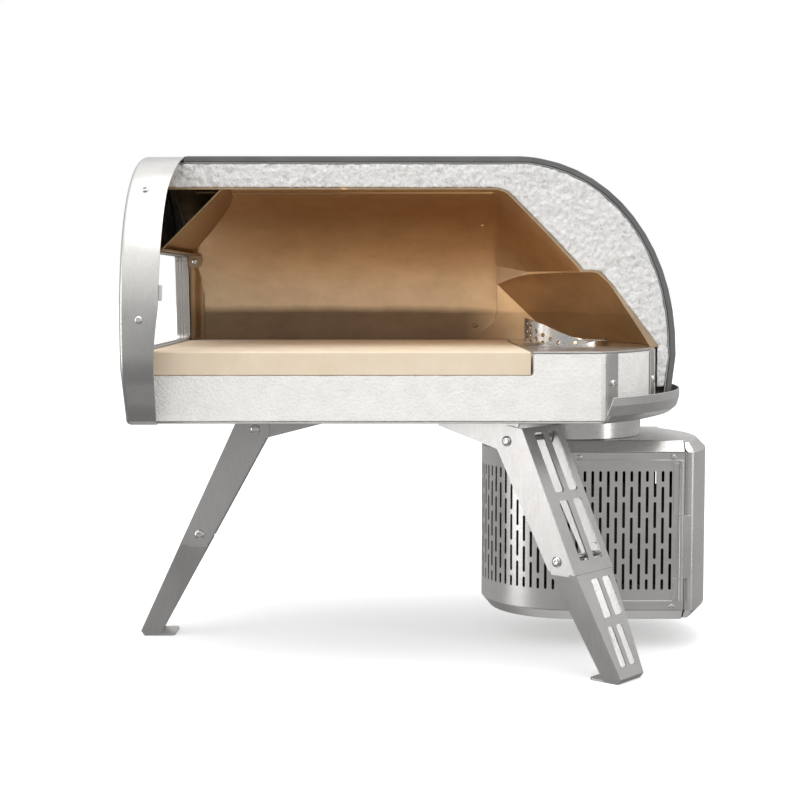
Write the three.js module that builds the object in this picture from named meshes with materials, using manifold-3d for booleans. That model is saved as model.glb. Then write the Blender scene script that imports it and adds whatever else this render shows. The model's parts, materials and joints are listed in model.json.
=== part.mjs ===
// Cut-open display model of a portable wood fired pizza oven.
// Millimetres, +Z up, the mouth faces -X, the burner hangs at +X, the feet stand on z = 0.
import * as THREE from 'three';
import { ConvexGeometry } from 'three/addons/geometries/ConvexGeometry.js';
import { mergeVertices } from 'three/addons/utils/BufferGeometryUtils.js';
import Module from 'manifold-3d';

const wasm = await Module();
wasm.setup();

// Driving dimensions; MIDDLE_X puts the origin under the middle of the outer box
const MIDDLE_X = 5.55;
const GAP = 0.3;
const SHEET = 1.5;
const CUT_Y = -55;
const FAR_Y = 400;
const FLOOR_Z = 290;
const TRAY_BOTTOM_Z = 225.6;
const PLAN = { x: 2, blockR: 223, blockHalf: 165, trayR: 246, trayHalf: 189.5, rimZ: 250.6 };
const DOME = { springZ: 282, rise: 193.8, half: 200, rearR: 242, ridgeX: 79, footHalf: 183.5, footR: 237 };
const SHELL_FRONT_X = -262;
const DOME_BOTTOM_Z = 241;
const BEZEL = { frontX: -276, half: 207, springZ: 276, topZ: 475, footHalf: 186, footZ: 226 };
const BEZEL_REAR = [[-244.2, 226], [-241.9, 301], [-239, 330], [-238.8, 437], [-234.9, 475]];
const BEZEL_LEAN = 0.02;
const MOUTH = { half: 157, topZ: 383, sillZ: 288, depth: 14.6 };
const CAVITY_BOTTOM_Z = FLOOR_Z + GAP;
const CAVITY = { half: 166, wallZ: 328, rise: 116, ceilingEndX: 72, ledgeZ: 364.5, cornerR: 22, slope: 50 };
const STONE = { x0: -258, x1: 88.7, z0: 270.3, endGap: 2.2 };
const BLOCK_TOP_Z = 288;
const BURNER = {
  x: 138.4,
  r: 84,
  backX: 243,
  wallZ0: 39.5,
  wallZ1: 191,
  topZ: 201.8,
  bottomZ: 28.7,
  inset: 9,
};
const STRAP_WIDTH = 16;
const NECK_R = 74;
const TUBE = { r: 42, bottomZ: 193, rim: [[-42, 317.5], [-2, 300], [14, 296], [42, 295]] };
const HATCH = { backX: 276, sideX: 252, z0: 30, z1: 200 };
const HINGE = { x: 239.5, y: -86.6, barrelR: 2.3, pinR: 1.1, z0: 48.5, z1: 181, cuts: [70, 131] };
const LEG = {
  pivotZ: 208.4,
  knee: [55.9, -104.4],
  seamZ: -114.6,
  footZ: -208.4,
  upperHalf: 30.5,
  lowerHalf: 28.6,
  footHalf: 18.6,
  capZ: 12,
};
const PIN_R = 3;
const LEGS = [
  { name: 'front', x: -170.4, y: 0, turn: 180 },
  { name: 'rear_near', x: 88.3, y: -126.6, turn: -40.75 },
  { name: 'rear_far', x: 88.3, y: 126.6, turn: 40.75 },
];

const STEEL = { color: 0xb9b6b1, roughness: 0.35, metalness: 1 };
const DARK_STEEL = { color: 0x6f6d6a, roughness: 0.5, metalness: 1 };
const HEATED_STEEL = { color: 0x8f6a45, roughness: 0.45, metalness: 1 };
const SILICONE = { color: 0x646868, roughness: 0.8, metalness: 0 };
const WOOL = { color: 0xebebe8, roughness: 1, metalness: 0 };
const BOARD = { color: 0xf0eee8, roughness: 0.95, metalness: 0 };
const CORDIERITE = { color: 0xf3e4d0, roughness: 0.9, metalness: 0 };

// Solids
function solid(geometry) {
  const bare = geometry.clone();
  bare.deleteAttribute('normal');
  bare.deleteAttribute('uv');
  const merged = mergeVertices(bare, 1e-4);
  const vertProperties = new Float32Array(merged.attributes.position.array);
  const triVerts = new Uint32Array(merged.index.array);
  return new wasm.Manifold(new wasm.Mesh({ numProp: 3, vertProperties, triVerts }));
}

function toGeometry(manifold) {
  const mesh = manifold.getMesh();
  const geometry = new THREE.BufferGeometry();
  geometry.setAttribute('position', new THREE.BufferAttribute(new Float32Array(mesh.vertProperties), 3));
  geometry.setIndex(Array.from(mesh.triVerts));
  geometry.computeVertexNormals();
  return geometry;
}

function hull(points) {
  return solid(new ConvexGeometry(points.map((p) => new THREE.Vector3(...p))));
}

function box(x0, x1, y0, y1, z0, z1) {
  const geometry = new THREE.BoxGeometry(x1 - x0, y1 - y0, z1 - z0);
  geometry.translate((x0 + x1) / 2, (y0 + y1) / 2, (z0 + z1) / 2);
  return solid(geometry);
}

// A flat outline of [x, y] points raised from z0 to z1.
function prism(outline, z0, z1) {
  const shape = new THREE.Shape(outline.map((p) => new THREE.Vector2(...p)));
  const geometry = new THREE.ExtrudeGeometry(shape, { depth: z1 - z0, bevelEnabled: false });
  geometry.translate(0, 0, z0);
  return solid(geometry);
}

// An outline of [y, z] points drawn out along X from x0 to x1.
function prismX(outline, x0, x1) {
  return prism(outline, x0, x1).rotate([90, 0, 90]);
}

// An outline of [x, z] points drawn out along Y, half to each side of the middle plane.
function prismY(outline, half) {
  return prism(outline, -half, half).rotate([90, 0, 0]);
}

function cylinder(r, x, y, z0, z1, sides = 40) {
  const geometry = new THREE.CylinderGeometry(r, r, z1 - z0, sides);
  geometry.rotateX(Math.PI / 2);
  geometry.translate(x, y, (z0 + z1) / 2);
  return solid(geometry);
}

function crossCylinder(r, [x, z], half, sides = 16) {
  const geometry = new THREE.CylinderGeometry(r, r, 2 * half, sides);
  geometry.translate(x, 0, z);
  return solid(geometry);
}

function piece(name, manifold, finish) {
  const mesh = new THREE.Mesh(toGeometry(manifold), new THREE.MeshStandardMaterial(finish));
  mesh.name = name;
  return mesh;
}

// The floor plan: a strip closed at the back by an arc of radius r about the plan centre.
function planOutline(r, half, frontX, steps = 18) {
  const limit = Math.asin(Math.min(1, half / r));
  const outline = [[frontX, -half]];
  for (let i = 0; i <= steps; i += 1) {
    const a = -limit + (2 * limit * i) / steps;
    outline.push([PLAN.x + r * Math.cos(a), r * Math.sin(a)]);
  }
  outline.push([frontX, half]);
  return outline;
}

function level(outline, z) {
  return outline.map(([x, y]) => [x, y, z]);
}

function farHalf(manifold) {
  return manifold.intersect(box(-FAR_Y, FAR_Y, CUT_Y, FAR_Y, 0, 2 * FAR_Y));
}

// Superellipse factors: how far out and how far up a dome point lies at elevation e.
function archFactors(e, power) {
  return [Math.max(0, Math.cos(e)) ** (2 / power), Math.sin(e) ** (2 / power)];
}

function mix(a, b, t) {
  return a + (b - a) * t;
}

// Dome
function domeBody(inset, frontX, bottomZ, rings = 15, steps = 20) {
  const half = DOME.half - inset;
  const rearR = DOME.rearR - inset;
  const limit = Math.asin(half / rearR);
  const points = [];
  const footShare = (DOME.springZ - bottomZ) / (DOME.springZ - 240);
  const footHalf = mix(DOME.half, DOME.footHalf, footShare) - inset;
  const footR = mix(DOME.rearR, DOME.footR, footShare) - inset;
  points.push(...level(planOutline(footR, footHalf, frontX, steps), bottomZ));
  for (let k = 0; k <= rings; k += 1) {
    const e = (Math.PI / 2) * (k / rings);
    const z = (power) => DOME.springZ + (DOME.rise - inset) * archFactors(e, power)[1];
    const [side] = archFactors(e, 2.4);
    for (const x of [frontX, DOME.ridgeX]) {
      points.push([x, -half * side, z(2.4)], [x, half * side, z(2.4)]);
    }
    for (let i = 0; i <= steps; i += 1) {
      const a = -limit + (2 * limit * i) / steps;
      const power = mix(2.05, 2.4, Math.abs(a) / limit);
      const [out] = archFactors(e, power);
      const edgeX = PLAN.x + rearR * Math.cos(a);
      points.push([mix(DOME.ridgeX, edgeX, out), rearR * Math.sin(a) * out, z(power)]);
    }
  }
  return hull(points);
}

function domeShell(outer, inner, frontX, bottomZ) {
  const shell = domeBody(outer, frontX, bottomZ).subtract(domeBody(inner, frontX - 20, bottomZ - 20));
  return farHalf(shell);
}

// How far a rounded corner of radius r, turning down by slope degrees, runs on and drops at each step.
function roundOver(r, slope, steps = 4) {
  const corner = [];
  for (let i = 0; i <= steps; i += 1) {
    const a = THREE.MathUtils.degToRad((slope * i) / steps);
    corner.push([r * (Math.sin(a) - Math.tan(THREE.MathUtils.degToRad(slope / 2))), r * (1 - Math.cos(a))]);
  }
  return corner;
}

// Cooking chamber, grown outwards by the given amount: a tall front hall and a lower stepped back.
function hallOutline(grow, frontX, steps = 14) {
  const outline = [[frontX, -CAVITY.half - grow]];
  for (let i = 0; i <= steps; i += 1) {
    const a = -Math.PI / 2 + (Math.PI * i) / steps;
    outline.push([40 + (112 + grow) * Math.cos(a), (CAVITY.half + grow) * Math.sin(a)]);
  }
  outline.push([frontX, CAVITY.half + grow]);
  return outline;
}

function chamberBody(grow, frontX, bottomZ) {
  const hall = [
    ...level(hallOutline(grow, frontX), bottomZ),
    ...level(hallOutline(grow, frontX), CAVITY.wallZ),
    ...level(hallOutline(grow, 30), CAVITY.ledgeZ + grow).filter(([x]) => x > 100),
  ];
  const rings = 9;
  for (let k = 0; k <= rings; k += 1) {
    const [out, up] = archFactors((Math.PI / 2) * (k / rings), 2.6);
    const y = (CAVITY.half + grow) * out;
    const z = CAVITY.wallZ + (CAVITY.rise + grow) * up;
    hall.push([frontX, -y, z], [frontX, y, z]);
    for (const [run, drop] of roundOver(CAVITY.cornerR + grow, CAVITY.slope)) {
      const endX = CAVITY.ceilingEndX + grow + run;
      hall.push([endX, -y, z - drop], [endX, y, z - drop]);
    }
  }
  const back = [
    ...level(planOutline(225 + grow, CAVITY.half + grow, 0), bottomZ),
    ...level(planOutline(181 + grow, 163 + grow, 0), 350),
    ...level(planOutline(172.5 + grow, 160.5 + grow, 0), 358.5 + grow),
    ...level(planOutline(169 + grow, 160 + grow, 0), 361.5 + grow),
    ...level(planOutline(162 + grow, 156 + grow, 0), 362.5 + grow),
  ];
  return hull(hall).add(hull(back));
}

function makeDome() {
  const liner = chamberBody(SHEET, SHELL_FRONT_X + 3, CAVITY_BOTTOM_Z)
    .subtract(chamberBody(0, -300, 280));
  const block = prism(planOutline(PLAN.blockR + 1.9, PLAN.blockHalf + 0.4, -300), 240, FLOOR_Z + 1);
  const wool = domeBody(6.7, SHELL_FRONT_X, 252)
    .subtract(chamberBody(SHEET + GAP, -300, CAVITY_BOTTOM_Z - GAP))
    .subtract(block);
  const jacket = domeShell(0, 4.5, -246, DOME_BOTTOM_Z).intersect(behindBezel(GAP));
  return [
    piece('silicone_jacket', jacket, SILICONE),
    piece('outer_shell', domeShell(5.2, 6.2, SHELL_FRONT_X, DOME_BOTTOM_Z), STEEL),
    piece('dome_insulation', farHalf(wool), WOOL),
    piece('inner_liner', farHalf(liner), HEATED_STEEL),
  ];
}

// The sheet that slopes down from the ceiling to the mouth, with a lip along its lower edge.
function makeBaffle() {
  const topX = -200.5;
  const drop = 57;
  const lipZ = CAVITY.wallZ + CAVITY.rise - 3 - drop;
  const footX = topX - drop;
  const outline = [
    [topX + 12, lipZ + drop + 12],
    [footX, lipZ],
    [footX, lipZ - SHEET],
    [footX + 9, lipZ - SHEET],
    [footX + 9, lipZ],
    [footX + 2.1, lipZ],
    [topX + 14.1, lipZ + drop + 12],
  ];
  const sheet = prismY(outline, 200).intersect(chamberBody(-0.4, -300, 280));
  const tab = box(-248, -230, 100, 200, lipZ - 24, lipZ - SHEET - GAP)
    .intersect(chamberBody(-0.4, -300, 280))
    .subtract(chamberBody(-0.4 - SHEET, -310, 270));
  const screw = new THREE.CylinderGeometry(3.6, 3.6, 4, 12);
  screw.translate(-239, CAVITY.half - 9.5, lipZ - 13);
  return [
    piece('front_baffle', farHalf(sheet), HEATED_STEEL),
    piece('baffle_bracket', tab.add(solid(screw)), STEEL),
  ];
}

// Front arch
function archOutline(inset, footZ = BEZEL.footZ) {
  const half = BEZEL.half - inset;
  const rise = BEZEL.topZ - BEZEL.springZ - inset;
  const outline = [[-BEZEL.footHalf + inset, footZ]];
  const steps = 40;
  for (let i = 0; i <= steps; i += 1) {
    const a = Math.PI - (Math.PI * i) / steps;
    const [out, up] = archFactors(Math.min(a, Math.PI - a), 2.3);
    outline.push([half * out * Math.sign(Math.cos(a)), BEZEL.springZ + rise * up]);
  }
  outline.push([BEZEL.footHalf - inset, footZ]);
  return outline.reverse();
}

function lean(manifold) {
  return manifold.warp((v) => {
    v[0] += (BEZEL.topZ - v[2]) * BEZEL_LEAN;
  });
}

// Everything behind the arch's rear edge, moved back by the given shift.
function behindBezel(shift) {
  const edge = BEZEL_REAR.map(([x, z]) => [x + shift, z]);
  return prismY([[edge[0][0], 200], ...edge, [edge.at(-1)[0], 600], [400, 600], [400, 200]], FAR_Y);
}

function makeFront() {
  const { frontX } = BEZEL;
  const { half, topZ, sillZ } = MOUTH;
  const arch = prismX(archOutline(0), frontX, -225)
    .subtract(prismX(archOutline(SHEET, BEZEL.footZ - 5), frontX + SHEET, -220))
    .subtract(box(frontX - 1, frontX + 3, -half, half, sillZ, topZ));
  const frame = box(frontX + 0.2, frontX + MOUTH.depth, -half + GAP, half - GAP, sillZ + 4, topZ - GAP)
    .subtract(box(frontX - 1, frontX + MOUTH.depth + 1, -half + 1.8, half - 1.8, sillZ - 1, topZ - 1.8));
  const earEdge = (y, z) => level([[-250, y], [-236, y], [-250, y + SHEET], [-236, y + SHEET]], z);
  const ear = hull([...earEdge(-199, 336), ...earEdge(-195.3, 350)]);
  return [
    piece('front_bezel', lean(arch).subtract(behindBezel(0)), STEEL),
    piece('mouth_frame', lean(frame), STEEL),
    piece('bezel_ear', ear, DARK_STEEL),
  ];
}

// Base
function traySide(inset) {
  const { trayR, trayHalf, rimZ } = PLAN;
  const frontX = -268 + inset;
  const rolled = [
    [rimZ + inset * 5, 0],
    [243, 0],
    [234, 2.5],
    [228.6, 9],
    [TRAY_BOTTOM_Z, 20],
  ];
  const points = [];
  for (const [z, pull] of rolled) {
    const ring = planOutline(trayR - pull - inset, trayHalf - pull - inset, frontX);
    points.push(...level(ring, z + inset));
  }
  return hull(points);
}

function makeBase() {
  const trimmedEdge = [[-300, 200], [151.6, 200], [151.6, 225], [160.4, 254], [160.4, 300], [-300, 300]];
  const nearTrim = prismY(trimmedEdge, 20).translate([0, -PLAN.blockHalf - 20.8, 0]);
  const tray = traySide(0)
    .subtract(traySide(1.2))
    .subtract(nearTrim)
    .subtract(cylinder(TUBE.r + 1, BURNER.x, 0, 220, 240));
  const hole = cylinder(TUBE.r + 1, BURNER.x, 0, 200, 320);
  const block = prism(planOutline(PLAN.blockR, PLAN.blockHalf, STONE.x0), TRAY_BOTTOM_Z + 1.5, BLOCK_TOP_Z)
    .subtract(box(-300, STONE.x1 + STONE.endGap, -200, 200, STONE.z0 - 1.8, 300))
    .subtract(hole);
  const plan = planOutline(PLAN.blockR, PLAN.blockHalf, STONE.x1 + STONE.endGap);
  const plate = prism(plan, BLOCK_TOP_Z + GAP, FLOOR_Z)
    .subtract(hole);
  const stone = box(STONE.x0, STONE.x1, -PLAN.blockHalf, PLAN.blockHalf, STONE.z0 - 1.5, FLOOR_Z);
  return [
    piece('base_tray', tray, STEEL),
    piece('base_insulation', block, BOARD),
    piece('burner_floor_plate', plate, STEEL),
    piece('pizza_stone', stone, CORDIERITE),
    ...makeStraps(),
  ];
}

// Upright strips on the round back of the block, two to each side.
function makeStraps() {
  const reach = STRAP_WIDTH / 2;
  const strip = box(PLAN.blockR + GAP, PLAN.blockR + 1.5, -reach, reach, 227.5, BLOCK_TOP_Z);
  return [-44, -21, 21, 44].map((angle, index) => {
    const placed = strip.rotate([0, 0, angle]).translate([PLAN.x, 0, 0]);
    return piece(`floor_strap_${index + 1}`, placed, STEEL);
  });
}

function makeFlameTube() {
  const { r, bottomZ, rim } = TUBE;
  const ring = cylinder(r, BURNER.x, 0, bottomZ, 320).subtract(cylinder(r - SHEET, BURNER.x, 0, 0, 400));
  const above = rim.map(([x, z]) => [BURNER.x + x * 1.01, z]);
  above.push([BURNER.x + 60, 295], [BURNER.x + 60, 400], [BURNER.x - 60, 400], [BURNER.x - 60, 317.5]);
  return piece('flame_tube', ring.subtract(prismY(above, 100)), STEEL);
}

// Burner
function burnerOutline(pull, backX, steps = 20) {
  const r = BURNER.r - pull;
  const outline = [[backX, r]];
  for (let i = 0; i <= steps; i += 1) {
    const a = Math.PI / 2 + (Math.PI * i) / steps;
    outline.push([BURNER.x + r * Math.cos(a), r * Math.sin(a)]);
  }
  outline.push([backX, -r]);
  return outline;
}

// A shallow lid with chamfered edges; it opens downwards when wideZ is below narrowZ.
function burnerLid(wideZ, narrowZ) {
  const way = Math.sign(narrowZ - wideZ);
  const outer = hull([
    ...level(burnerOutline(0, BURNER.backX), wideZ),
    ...level(burnerOutline(BURNER.inset, BURNER.backX), narrowZ),
  ]);
  const inner = hull([
    ...level(burnerOutline(SHEET * 1.3, BURNER.backX - SHEET), wideZ - way * SHEET),
    ...level(burnerOutline(BURNER.inset + SHEET, BURNER.backX - SHEET), narrowZ - way * SHEET),
  ]);
  return outer.subtract(inner);
}

function makeBurner() {
  const { x, backX, wallZ0, wallZ1, topZ, bottomZ } = BURNER;
  const neck = cylinder(NECK_R, x, 0, topZ + GAP, TRAY_BOTTOM_Z - GAP, 56)
    .subtract(cylinder(NECK_R - SHEET, x, 0, 0, 400, 56));
  const cap = burnerLid(wallZ1 + GAP, topZ).subtract(cylinder(TUBE.r + 1, x, 0, 150, 250));
  const wall = prism(burnerOutline(0, backX), wallZ0, wallZ1)
    .subtract(prism(burnerOutline(SHEET, backX + 5), wallZ0 - 5, wallZ1 + 5));
  const fireBox = box(84, 236, -60, 60, 62, 158).subtract(box(85.5, 240, -58.5, 58.5, 63.5, 170));
  return [
    piece('burner_neck', neck, STEEL),
    piece('burner_cap', cap, STEEL),
    piece('burner_wall', wall, STEEL),
    piece('burner_pan', burnerLid(wallZ0 - GAP, bottomZ), STEEL),
    piece('fire_box', fireBox, DARK_STEEL),
    piece('fuel_grate', makeGrate(), DARK_STEEL),
    piece('ash_tray', box(80, 230, -55, 55, 42, 58).subtract(box(81.2, 228.8, -53.8, 53.8, 43.2, 70)), STEEL),
  ];
}

function makeGrate() {
  let grate = box(87, 232, -57, 57, 80, 83);
  for (let i = 0; i < 11; i += 1) {
    const x = 94 + i * 12.4;
    grate = grate.subtract(box(x, x + 6, -50, 50, 70, 90));
  }
  return grate.add(box(87, 91, -57, 57, 64, 82)).add(box(228, 232, -57, 57, 64, 82));
}

// Rear hatch
function hatchOutline(pull, sideX, steps = 12) {
  const half = BURNER.r - pull;
  const bulge = HATCH.backX - HATCH.sideX;
  const outline = [[sideX, half]];
  for (let i = 0; i <= steps; i += 1) {
    const y = half * (1 - (2 * i) / steps);
    outline.push([HATCH.sideX - pull + bulge * (1 - (y / BURNER.r) ** 2), y]);
  }
  outline.push([sideX, -half]);
  return outline;
}

function makeHatch() {
  const frontX = BURNER.backX + 0.8;
  const chamfer = BURNER.inset;
  const shellOf = (pull, startX) => hull([
    ...level(hatchOutline(pull + chamfer, startX), HATCH.z0 + pull),
    ...level(hatchOutline(pull, startX), HATCH.z0 + chamfer + pull / 2),
    ...level(hatchOutline(pull, startX), HATCH.z1 - chamfer - pull / 2),
    ...level(hatchOutline(pull + chamfer, startX), HATCH.z1 - pull),
  ]);
  const door = shellOf(0, frontX).subtract(shellOf(SHEET, frontX - 5));
  const linerPlate = box(frontX, frontX + SHEET, -80, 80, 42, 188);
  const latch = box(frontX + 2, frontX + 7, 70, 78, 105, 125);
  return [
    piece('hatch_door', door, STEEL),
    piece('hatch_liner', linerPlate, DARK_STEEL),
    piece('hatch_latch', latch, DARK_STEEL),
    ...makeHinge(),
  ];
}

function barrel(z0, z1, leafX0, leafX1) {
  const { x, y, barrelR, pinR } = HINGE;
  const leafY = -BURNER.r - GAP;
  const leaf = box(Math.min(leafX0, leafX1), Math.max(leafX0, leafX1), leafY - 1, leafY, z0, z1);
  return cylinder(barrelR, x, y, z0, z1, 14)
    .add(leaf)
    .subtract(cylinder(pinR + GAP, x, y, z0 - 5, z1 + 5, 14));
}

function makeHinge() {
  const { x, y, pinR, z0, z1, cuts } = HINGE;
  const pin = cylinder(pinR, x, y, z0 - 1, z1 + 1, 14).add(cylinder(2, x, y, z1 + GAP, z1 + 2, 14));
  return [
    piece('hatch_knuckle_bottom', barrel(z0, cuts[0], x - 7, x), STEEL),
    piece('hatch_knuckle_door', barrel(cuts[0] + GAP, cuts[1] - GAP, x, x + 10), STEEL),
    piece('hatch_knuckle_top', barrel(cuts[1], z1, x - 7, x), STEEL),
    piece('hatch_hinge_pin', pin, STEEL),
  ];
}

// Legs, drawn at the hip pivot with +X outwards; the web lies on the outer line, the channel opens inwards.
function outerLine(z) {
  return 20.1 + (5.1 - z) * 0.4634;
}

function backLine(z) {
  return -10 - (9.9 + z) * 0.5487;
}

function arc([x, z], r, from, to, steps) {
  const points = [];
  for (let i = 0; i <= steps; i += 1) {
    const a = THREE.MathUtils.degToRad(from + ((to - from) * i) / steps);
    points.push([x + r * Math.cos(a), z + r * Math.sin(a)]);
  }
  return points;
}

function channelRoom(half) {
  const inner = (z) => outerLine(z) - 1.8;
  return prismY([[inner(60), 60], [-300, 60], [-300, -260], [inner(-260), -260]], half);
}

// Two long slots with rounded corners, side by side across the web, from z0 down to z1.
function webSlots(z0, z1, spread, width, shift) {
  const r = 2.5;
  const reach = width / 2 - r;
  const cuts = [-spread, spread].map((side) => {
    const middle = side + shift;
    const outline = [
      ...arc([middle + reach, z0 - r], r, 0, 90, 3),
      ...arc([middle - reach, z0 - r], r, 90, 180, 3),
      ...arc([middle - reach, z1 + r], r, 180, 270, 3),
      ...arc([middle + reach, z1 + r], r, 270, 360, 3),
    ];
    return prismX(outline, 10, 140);
  });
  return cuts[0].add(cuts[1]);
}

function upperLeg() {
  const { capZ, seamZ, knee, upperHalf } = LEG;
  const outline = [
    [outerLine(capZ), capZ],
    ...arc([0, 0], 14.1, 90, 225, 8),
    [backLine(seamZ + 2), seamZ + 2],
    [backLine(seamZ) + 2, seamZ],
    [outerLine(seamZ), seamZ],
  ];
  return prismY(outline, upperHalf)
    .subtract(channelRoom(upperHalf - SHEET))
    .subtract(webSlots(7.6, -45.3, 11, 14, 3.3))
    .subtract(webSlots(-52.5, -104.5, 11, 14, 3.3))
    .subtract(crossCylinder(PIN_R, [0, 0], 60))
    .subtract(crossCylinder(PIN_R, knee, 60));
}

function lowerLeg() {
  const { seamZ, footZ, knee, lowerHalf, footHalf } = LEG;
  const topZ = seamZ - GAP;
  const across = (x, z, half) => [[x, -half, z], [x, half, z]];
  const body = (pull, deep) => hull([
    ...across(outerLine(topZ) - deep, topZ + pull, lowerHalf - pull),
    ...across(backLine(topZ) - 60 * Math.sign(pull), topZ + pull, lowerHalf - pull),
    ...across(outerLine(footZ + 5) - deep, footZ + 5 + pull, footHalf - pull),
    ...across(outerLine(footZ) - 6 - deep, footZ + 2 * Math.sign(pull), footHalf - pull),
    ...across(backLine(footZ) - 60 * Math.sign(pull), footZ + 2 * Math.sign(pull), footHalf - pull),
  ]);
  const channel = body(0, 0).subtract(body(SHEET, 1.8));
  const footTab = box(outerLine(footZ) - 36, outerLine(footZ) - 12, -footHalf, footHalf, footZ, footZ + 2);
  const round = arc(knee, 10.5, 0, 180, 8);
  const tongue = prismY([...round, [backLine(topZ) + 1, topZ - 2], [68, topZ - 2]], lowerHalf)
    .subtract(prismY([[0, -60], [100, -60], [100, -160], [0, -160]], lowerHalf - SHEET));
  return channel
    .add(footTab)
    .add(tongue)
    .subtract(webSlots(-120.5, -153.5, 9, 12, 5))
    .subtract(webSlots(-160.7, -194.5, 7.4, 9, 0.2))
    .subtract(crossCylinder(PIN_R, knee, 60));
}

function legBracket() {
  const plateZ = TRAY_BOTTOM_Z - GAP - LEG.pivotZ;
  const half = LEG.lowerHalf;
  const outline = [[12, plateZ], [-82, plateZ], [-82, 9.5], [-9, -9.2], ...arc([0, 0], 9.5, 250, 360, 5)];
  return prismY(outline, half)
    .subtract(prismY([[200, plateZ - SHEET], [-200, plateZ - SHEET], [-200, -60], [200, -60]], half - SHEET))
    .subtract(crossCylinder(PIN_R, [0, 0], 60));
}

function rivet(centre, holeHalf) {
  const shank = crossCylinder(PIN_R - GAP, centre, holeHalf + 1, 16);
  const head = crossCylinder(4.8, centre, 0.9, 16);
  const offset = holeHalf + GAP + 0.9;
  return shank.add(head.translate([0, offset, 0])).add(head.translate([0, -offset, 0]));
}

function makeLeg({ name, x, y, turn }) {
  const leg = new THREE.Group();
  leg.position.set(x, y, LEG.pivotZ);
  leg.rotation.z = THREE.MathUtils.degToRad(turn);
  leg.add(
    piece(`leg_bracket_${name}`, legBracket(), STEEL),
    piece(`upper_leg_${name}`, upperLeg(), STEEL),
    piece(`lower_leg_${name}`, lowerLeg(), STEEL),
    piece(`hip_pin_${name}`, rivet([0, 0], LEG.upperHalf), STEEL),
    piece(`knee_pin_${name}`, rivet(LEG.knee, LEG.upperHalf), STEEL),
  );
  return leg;
}

const oven = new THREE.Group();
oven.position.x = MIDDLE_X;
oven.add(...makeDome(), ...makeBaffle(), ...makeFront(), ...makeBase(), makeFlameTube());
oven.add(...makeBurner(), ...makeHatch());
oven.add(...LEGS.map(makeLeg));

export default oven;
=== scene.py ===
# Cut-open portable wood fired pizza oven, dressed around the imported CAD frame.
# Metres, +Z up. Sizes of added detail are in millimetres times MM. Most places come from the frame's boxes;
# screws, seams and slots have their own numbers below.
import json
import math

import bmesh
import bpy
from mathutils import Matrix, Vector, noise
from mathutils.bvhtree import BVHTree
from mathutils.geometry import delaunay_2d_cdt


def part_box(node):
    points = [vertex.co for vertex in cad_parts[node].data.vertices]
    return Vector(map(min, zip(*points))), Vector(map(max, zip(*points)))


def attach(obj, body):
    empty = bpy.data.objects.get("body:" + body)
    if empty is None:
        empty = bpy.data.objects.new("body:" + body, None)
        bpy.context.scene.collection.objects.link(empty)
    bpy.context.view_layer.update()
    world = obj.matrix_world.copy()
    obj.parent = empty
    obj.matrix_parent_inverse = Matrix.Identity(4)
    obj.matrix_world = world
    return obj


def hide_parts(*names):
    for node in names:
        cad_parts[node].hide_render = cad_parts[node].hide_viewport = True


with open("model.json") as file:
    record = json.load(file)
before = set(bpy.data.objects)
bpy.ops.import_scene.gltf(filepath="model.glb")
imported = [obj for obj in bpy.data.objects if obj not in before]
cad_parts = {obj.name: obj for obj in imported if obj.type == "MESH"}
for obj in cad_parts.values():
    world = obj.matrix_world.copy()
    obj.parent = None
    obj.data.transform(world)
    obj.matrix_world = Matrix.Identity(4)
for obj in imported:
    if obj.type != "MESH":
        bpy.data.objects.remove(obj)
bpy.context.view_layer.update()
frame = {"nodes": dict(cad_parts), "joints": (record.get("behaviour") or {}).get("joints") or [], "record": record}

MM = 0.001
NODES = frame["nodes"]
RECORD = frame["record"]
BODY_OF = {n: b for b, ns in RECORD["behaviour"]["bodies"].items() for n in ns}
JOINTS = {j["name"]: j for j in frame["joints"]}
OVEN = "oven"
WHITE = (1, 1, 1)
EVEN = (1, 1, 1)


def set_stops(ramp, stops):
    """Gives a colour ramp its (position, colour) stops."""
    while len(ramp.elements) < len(stops):
        ramp.elements.new(0.5)
    for element, (position, colour) in zip(ramp.elements, stops):
        element.position = position
        element.color = (*colour, 1)


# ---------------------------------------------------------------- materials

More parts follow.
